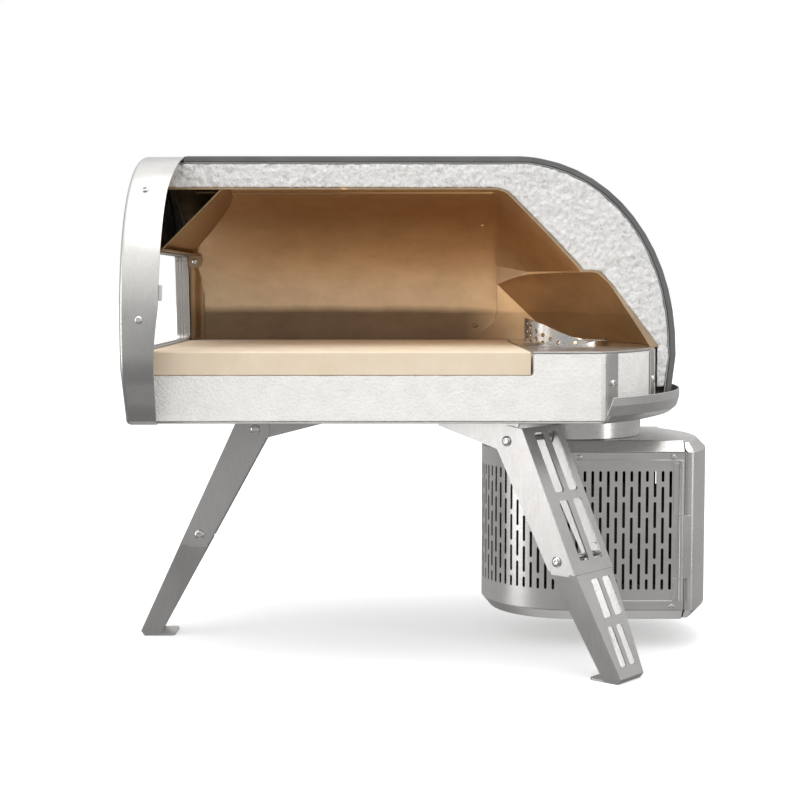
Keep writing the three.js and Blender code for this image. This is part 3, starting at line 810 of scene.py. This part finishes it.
def make_bezel():
    """One sheet: a wide band whose front edge rolls round into the face that holds the mouth."""
    low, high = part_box("front_bezel")
    front, roll = low.x, 4.2 * MM
    rear_line = [(high.z if z is None else z, high.x - ahead * MM) for z, ahead in ARCH_REAR]
    mouth_low, mouth_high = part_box("mouth_frame")
    outline = arch_outline(low, high)
    inward = inward_ways(outline)

    def spot(x, y, z):
        return Vector((x + (high.z - z) * LEAN, y, z))

    def rear(z):
        for (za, xa), (zb, xb) in zip(rear_line, rear_line[1:]):
            if z <= zb:
                return xa + (xb - xa) * (z - za) / (zb - za)
        return high.x

    bm = bmesh.new()
    # Two rings across the band, as shares of its width from the roll, then the roll as (run, drop) in metres
    profile = [(1.0, 0.0), (0.5, 0.0), (roll, 0.0)]
    for i in range(1, 7):
        a = math.pi / 2 * i / 6
        profile.append((roll - roll * math.sin(a), roll - roll * math.cos(a)))
    rings = []
    for run, drop in profile:
        ring = []
        for (y, z), way in zip(outline, inward):
            point = spot(front + run, y + way.x * drop, z + way.y * drop)
            if run > roll:
                edge_x = spot(front + roll, y, z).x
                point.x = edge_x + (rear(z) - edge_x) * run
            ring.append(bm.verts.new(point))
        rings.append(ring)
    add_grid(bm, rings)

    inner = [(y + way.x * roll, z + way.y * roll) for (y, z), way in zip(outline, inward)]
    half, top, sill, r = mouth_high.y + 0.3 * MM, mouth_high.z + 0.3 * MM, mouth_low.z - 4 * MM, 5 * MM
    hole = []
    corners = ((1, top - r, 0), (-1, top - r, 90), (-1, sill + r, 180), (1, sill + r, 270))
    for side, centre_z, start in corners:
        hole += arc(side * (half - r), centre_z, r, start, 90, 4)
    points = [Vector((y / MM, z / MM)) for y, z in inner + hole]
    count = len(inner)
    edges = [(i, (i + 1) % count) for i in range(count)]
    edges += [(count + i, count + (i + 1) % len(hole)) for i in range(len(hole))]
    flat, _, faces, _, _, _ = delaunay_2d_cdt(points, edges, [], 2, 1e-5)
    verts = [bm.verts.new(spot(front, p.x * MM, p.y * MM)) for p in flat]
    for face in faces:
        middle = sum((flat[i] for i in face), Vector((0, 0))) / len(face) * MM
        if abs(middle.x) < half and sill < middle.y < top:
            continue
        bm.faces.new([verts[i] for i in face])
    drop_spare(bm, 2e-6)
    bmesh.ops.recalc_face_normals(bm, faces=bm.faces)
    # The band's faces, seen from inside the arch, should turn away from it
    inside_z, outness = 0.3, 0.0
    for face in bm.faces:
        if abs(face.normal.x) < 0.3:
            middle = face.calc_center_median()
            outness += face.normal.dot(Vector((0, middle.y, middle.z - inside_z))) * face.calc_area()
    if outness < 0:
        bmesh.ops.reverse_faces(bm, faces=bm.faces)
    arch = make("front_arch", bm, BEZEL_STEEL, OVEN, ("front_bezel",), 50)
    thicken(arch, 1.4, even=False)
    redo("bezel_ear", "arch_ear", BRIGHT, 0.6)
    for side, label in ((-1, "near"), (1, "far")):
        for index, (x, z) in enumerate(ARCH_SCREWS):
            point, normal = hit("front_bezel", (x, side * 0.4, z), (0, -side, 0))
            socket_head(f"arch_screw_{label}_{index + 1}", point, normal, 3.4, 1.9)


# The mouth strip's section in millimetres: distance back from its front, and distance outwards
MOUTH_SECTION = (
    (0.2, 0), (3.2, 0), (3.5, 1.0), (4.3, 1.0), (4.6, 0), (6.6, 0), (6.9, 1.0), (7.7, 1.0), (8.0, 0.1),
    (13.4, 0.1), (14.2, 0.7), (14.2, 1.4), (0.2, 1.4),
)


def make_mouth():
    """The frame that lines the mouth: a stepped strip swept round a rounded rectangle."""
    low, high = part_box("mouth_frame")
    top_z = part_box("front_bezel")[1].z
    front = low.x - (top_z - high.z) * LEAN
    half, roof, sill, r = high.y - 1.5 * MM, high.z - 1.5 * MM, low.z - 1.0 * MM, 7 * MM
    path = []
    corners = ((1, sill + r, 270), (1, roof - r, 0), (-1, roof - r, 90), (-1, sill + r, 180))
    for side, centre_z, start in corners:
        for i in range(7):
            a = math.radians(start + 15 * i)
            path.append((side * (half - r), centre_z, math.cos(a), math.sin(a)))
    bm = bmesh.new()
    rings = []
    for run, out in MOUTH_SECTION:
        ring = []
        for cy, cz, c, s in path:
            y, z = cy + (r + out * MM) * c, cz + (r + out * MM) * s
            ring.append(bm.verts.new((front + run * MM + (top_z - z) * LEAN, y, z)))
        rings.append(ring)
    add_grid(bm, rings + rings[:1], closed=True)
    bmesh.ops.recalc_face_normals(bm, faces=bm.faces)
    make("mouth_surround", bm, BRIGHT, OVEN, ("mouth_frame",), 40, 0.12, 1)


# ---------------------------------------------------------------- base

# Screws in the floor straps: angles round the block's rear end, and height in metres
STRAP_ANGLES, STRAP_SCREW_Z = (-44, -21, 21, 44), 0.261
# The flame tube's rim: distance along X from its middle, and how far it has fallen there, in millimetres
RIM_FALL = ((-25, 6.5), (-12, 12.8), (2, 18.2), (12, 21.2), (20, 22.2))


def make_base():
    redo("pizza_stone", "baking_stone", STONE, 1.3, 32, 3)
    redo("base_tray", "tray_shell", TRAY_STEEL, 0.5, 26, 2)
    redo("burner_floor_plate", "floor_plate", BRIGHT, 0.4)
    round_r, strap_out = 0.223, 1.6 * MM
    centre = Vector((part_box("burner_floor_plate")[1].x - round_r, 0, STRAP_SCREW_Z))
    for index in range(len(STRAP_ANGLES)):
        redo(f"floor_strap_{index + 1}", f"strap_{index + 1}", BRIGHT, 0.3)
    for index, angle in enumerate(STRAP_ANGLES):
        a = math.radians(angle)
        way = Vector((math.cos(a), math.sin(a), 0))
        socket_head(f"strap_screw_{index + 1}", centre + way * (round_r + strap_out), way, 3.6, 2.0)


def make_flame_tube():
    """A thin tube with a falling rim, and holes in staggered rows where it stands above the floor."""
    low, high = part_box("flame_tube")
    centre = (low + high) / 2
    r = (high.x - low.x) / 2 / MM
    length = 2 * math.pi * r
    base, count = low.z / MM, 96
    fall = [(-r, 0.0), *RIM_FALL, (r + 1, 22.4)]

    def top(s):
        x = -r * math.cos(s / r)
        for (xa, za), (xb, zb) in zip(fall, fall[1:]):
            if x <= xb:
                return high.z / MM - (za + (zb - za) * (x - xa) / (xb - xa))
        return high.z / MM - fall[-1][1]

    def place(s, z):
        a = math.pi + s / r
        return (centre.x + r * MM * math.cos(a), centre.y + r * MM * math.sin(a), z * MM)

    ticks = [length * i / count for i in range(count + 1)]
    outline = [(s, base) for s in ticks] + [(s, top(s)) for s in reversed(ticks)]
    floor_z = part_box("burner_floor_plate")[1].z / MM
    hole_r, around, first_row, pitch, clear = 2.15, 16, 3.6, 3.75, 1.3
    centres = []
    for row in range(6):
        z = floor_z + first_row + row * pitch
        for k in range(around):
            s = length * ((k + 0.25 + 0.5 * (row % 2)) / around)
            rim = min(top(max(0, s - hole_r)), top(min(length, s + hole_r)))
            if z + hole_r + clear < rim:
                centres.append((s, z))
    turns = [math.pi * i / 6 for i in range(12)]
    holes = [[(s + hole_r * math.cos(a), z + hole_r * math.sin(a)) for a in turns] for s, z in centres]

    def keep(s, z):
        if z > top(s) - 1e-4:
            return False
        return all(math.hypot(s - a, z - b) > hole_r * 0.97 for a, b in centres)

    bm = sheet_from_plan(outline, holes, keep, place)
    face_outwards(bm, centre)
    tube = make("flame_tube_wall", bm, NECK_STEEL, OVEN, ("flame_tube",), 50)
    thicken(tube, 1.2)


# ---------------------------------------------------------------- burner

# The casing's columns of slots, and the plain margin at each end of its plan. All in millimetres
COLUMNS, MARGIN = 61, 13.4
SLOT_HALF, SLOT_TOP, SLOT_GAP = 1.35, 173.3, 4.4
LONG_SLOT, SHORT_SLOT = 25.3, 10.5
# Rails above and below the slots as (bottom, top), and screws as (x, z), in millimetres
CASING_RAILS = ((181.0, 184.0), (45.8, 48.5))
CASING_SCREWS = ((148, 186.6), (237.5, 186.6), (237, 43.0), (148, 43.0))


def casing_slots():
    """Each column's slots from the top down as (bottom, top)."""
    slots = {}
    for k in range(COLUMNS):
        sizes = [LONG_SLOT] * 4 if k % 2 == 0 else [SHORT_SLOT, LONG_SLOT, LONG_SLOT, LONG_SLOT, SHORT_SLOT]
        z = SLOT_TOP
        slots[k] = []
        for size in sizes:
            slots[k].append((z - size, z))
            z -= size + SLOT_GAP
    return slots


def make_casing(low, high, r, centre_x):
    """The half-round wall, unrolled, slotted and rolled up again. Its plan is in millimetres."""
    flat = high.x / MM - centre_x
    bend = math.pi * r
    length = 2 * flat + bend
    z0, z1 = low.z / MM, high.z / MM
    pitch = (length - 2 * MARGIN) / (COLUMNS - 1)
    slots = casing_slots()

    def place(s, z):
        if s < flat:
            x, y = centre_x + flat - s, -r
        elif s > flat + bend:
            x, y = centre_x + (s - flat - bend), r
        else:
            a = -math.pi / 2 - (s - flat) / r
            x, y = centre_x + r * math.cos(a), r * math.sin(a)
        return (x * MM, y * MM, z * MM)

    holes = []
    for k, spans in slots.items():
        s = MARGIN + k * pitch
        for bottom, roof in spans:
            loop = []
            for centre_z, start in ((roof - SLOT_HALF, 0), (bottom + SLOT_HALF, math.pi)):
                for i in range(5):
                    a = start + math.pi * i / 4
                    loop.append((s + SLOT_HALF * math.cos(a), centre_z + SLOT_HALF * math.sin(a)))
            holes.append(loop)

    def keep(s, z):
        k = round((s - MARGIN) / pitch)
        if k not in slots:
            return True
        off = abs(s - MARGIN - k * pitch)
        for bottom, roof in slots[k]:
            if bottom < z < roof:
                end = max(z - (roof - SLOT_HALF), (bottom + SLOT_HALF) - z, 0)
                if math.hypot(off, end) < SLOT_HALF - 0.02:
                    return False
        return True

    cuts = [MARGIN + (k + 0.5) * pitch for k in range(-1, COLUMNS)]
    outline = [(0, z0)] + [(s, z0) for s in cuts] + [(length, z0), (length, z1)]
    outline += [(s, z1) for s in reversed(cuts)] + [(0, z1)]
    bm = sheet_from_plan(outline, holes, keep, place, [((s, z0), (s, z1)) for s in cuts])
    face_outwards(bm, (centre_x * MM, 0, 0))
    wall = make("burner_casing", bm, BURNER_STEEL, OVEN, ("burner_wall",), 50)
    thicken(wall, 1.2)


def make_burner():
    low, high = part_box("burner_wall")
    r = (high.y - low.y) / 2 / MM
    centre_x = low.x / MM + r
    make_casing(low, high, r, centre_x)
    redo("burner_cap", "burner_lid", BURNER_STEEL, 0.9, 24, 3)
    redo("burner_pan", "burner_base", BURNER_STEEL, 0.9, 24, 3)
    redo("burner_neck", "burner_collar", NECK_STEEL, 0.4, 40)
    redo("fire_box", "fire_box_shell", DARK, 0.3)
    redo("fuel_grate", "fuel_grate_bars", DARK, 0.3)
    redo("ash_tray", "ash_tray_shell", BRIGHT, 0.3)
    # A rail stands proud above and below each side's slots, with screws past its ends
    x0, x1 = (centre_x + 2.0) * MM, high.x - 1.0 * MM
    for side, label in ((-1, "near"), (1, "far")):
        y = side * r * MM
        proud = y + side * 0.7 * MM
        for index, (bottom, roof) in enumerate(CASING_RAILS):
            bm = box_mesh((x0, min(y, proud), bottom * MM), (x1, max(y, proud), roof * MM))
            make(f"casing_rail_{label}_{index + 1}", bm, BURNER_STEEL, OVEN, bevel=0.3)
        for index, (x, z) in enumerate(CASING_SCREWS):
            socket_head(f"casing_screw_{label}_{index + 1}", (x * MM, y, z * MM), (0, side, 0), 2.5, 1.3)


def round_edges(bm, edges, radius, segments):
    """Rounds edges to a radius in millimetres. Edges that an earlier rounding took away are passed over."""
    edges = [e for e in edges if e.is_valid]
    bmesh.ops.bevel(
        bm, geom=edges, offset=radius * MM, segments=segments, profile=0.5, affect="EDGES", clamp_overlap=True
    )


def make_hatch():
    """The hinged rear of the burner, with its upright folds rounded outside and inside."""
    bm = copy_of("hatch_door")
    tall, fold_angle = 60 * MM, math.radians(35)
    outer, inner = [], []
    for edge in bm.edges:
        upright = abs(edge.verts[0].co.z - edge.verts[1].co.z) > tall
        if upright and len(edge.link_faces) == 2 and edge.calc_face_angle(0) > fold_angle:
            (outer if edge.is_convex else inner).append(edge)
    round_edges(bm, outer, 5, 6)
    round_edges(bm, inner, 3.6, 5)
    make("hatch_shell", bm, BURNER_STEEL, "hatch", ("hatch_door",), 30, 0.8, 3)
    redo("hatch_liner", "hatch_inner_plate", DARK, 0.3)
    redo("hatch_latch", "hatch_latch_block", DARK, 0.5)
    for node in ("hatch_knuckle_bottom", "hatch_knuckle_door", "hatch_knuckle_top", "hatch_hinge_pin"):
        redo(node, node.replace("hatch_", "hinge_"), BURNER_STEEL, 0.25, 40)


# ---------------------------------------------------------------- legs

# A rivet head from its rim to the dimple in its middle: share of its radius, and height in millimetres
RIVET_DOME = ((1, 0.0), (1, 0.45), (0.93, 1.05), (0.76, 1.65), (0.52, 2.0), (0.4, 2.0), (0.36, 1.1), (0, 0.8))


def make_pin(node, name, joint):
    """A rivet with a domed head at each end of its shank."""
    centre = Vector(joint["pos_m"])
    axis = Vector(joint["axis"]).normalized()
    # All the leg pins are as long as this one
    low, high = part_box("hip_pin_front")
    half = (high.y - low.y) / 2
    head, shank = 4.8 * MM, 2.7 * MM
    under = half - 1.8 * MM
    profile = [(head * share, under + h * MM) for share, h in RIVET_DOME]
    mirrored = [(r, -h) for r, h in reversed(profile)]
    bm = lathe(mirrored + [(shank, -under), (shank, under)] + profile, centre, axis, 28)
    make(name, bm, POLISHED, BODY_OF[node], (node,), sharp=50)


def roll_folds(bm, joint):
    """Rounds the long folds between a leg's web and flanges, inside and out, and the foot's corners."""
    axis = Vector(joint["axis"])
    shortest_fold, smallest_web, foot_sheet = 12 * MM, 500 * MM * MM, 3 * MM
    outer, inner = [], []
    for edge in bm.edges:
        if len(edge.link_faces) != 2 or edge.calc_length() < shortest_fold:
            continue
        a, b = edge.link_faces
        flange, web = (a, b) if abs(a.normal.dot(axis)) > abs(b.normal.dot(axis)) else (b, a)
        run = (edge.verts[1].co - edge.verts[0].co).normalized()
        if abs(flange.normal.dot(axis)) < 0.9 or abs(web.normal.dot(axis)) > 0.3 or abs(run.z) < 0.5:
            continue
        if web.calc_area() < smallest_web:
            continue
        (outer if edge.is_convex else inner).append(edge)
    round_edges(bm, outer, 4, 5)
    # A wider rounding inside made the shin and the thigh touch with the knee folded
    round_edges(bm, inner, 0.6, 2)
    foot = min(v.co.z for v in bm.verts)
    tips = []
    for edge in bm.edges:
        run = edge.verts[1].co - edge.verts[0].co
        short = run.length < foot_sheet and max(v.co.z for v in edge.verts) < foot + foot_sheet
        if abs(run.z) > 0.9 * run.length and short and len(edge.link_faces) == 2:
            if edge.is_convex and edge.calc_face_angle(0) > 1.2:
                tips.append(edge)
    round_edges(bm, tips, 4, 4)


def make_leg_part(node, name, joint):
    """A thigh or shin in the CAD node's shape, with its folds rolled; joint gives the folds' axis."""
    bm = copy_of(node)
    roll_folds(bm, joint)
    make(name, bm, LEG_STEEL, BODY_OF[node], (node,), 32, 0.35, 2)


def make_legs():
    for leg in ("front", "rear_near", "rear_far"):
        redo(f"leg_bracket_{leg}", f"bracket_{leg}", LEG_STEEL, 0.6, 32, 2)
        make_leg_part(f"upper_leg_{leg}", f"thigh_{leg}", JOINTS[f"hip_{leg}"])
        make_leg_part(f"lower_leg_{leg}", f"shin_{leg}", JOINTS[f"hip_{leg}"])
        make_pin(f"hip_pin_{leg}", f"hip_rivet_{leg}", JOINTS[f"hip_{leg}"])
        make_pin(f"knee_pin_{leg}", f"knee_rivet_{leg}", JOINTS[f"knee_{leg}"])


make_stage()
make_jacket()
make_wool()
make_liner()
make_bezel()
make_mouth()
make_board()
make_base()
make_flame_tube()
make_burner()
make_hatch()
make_legs()
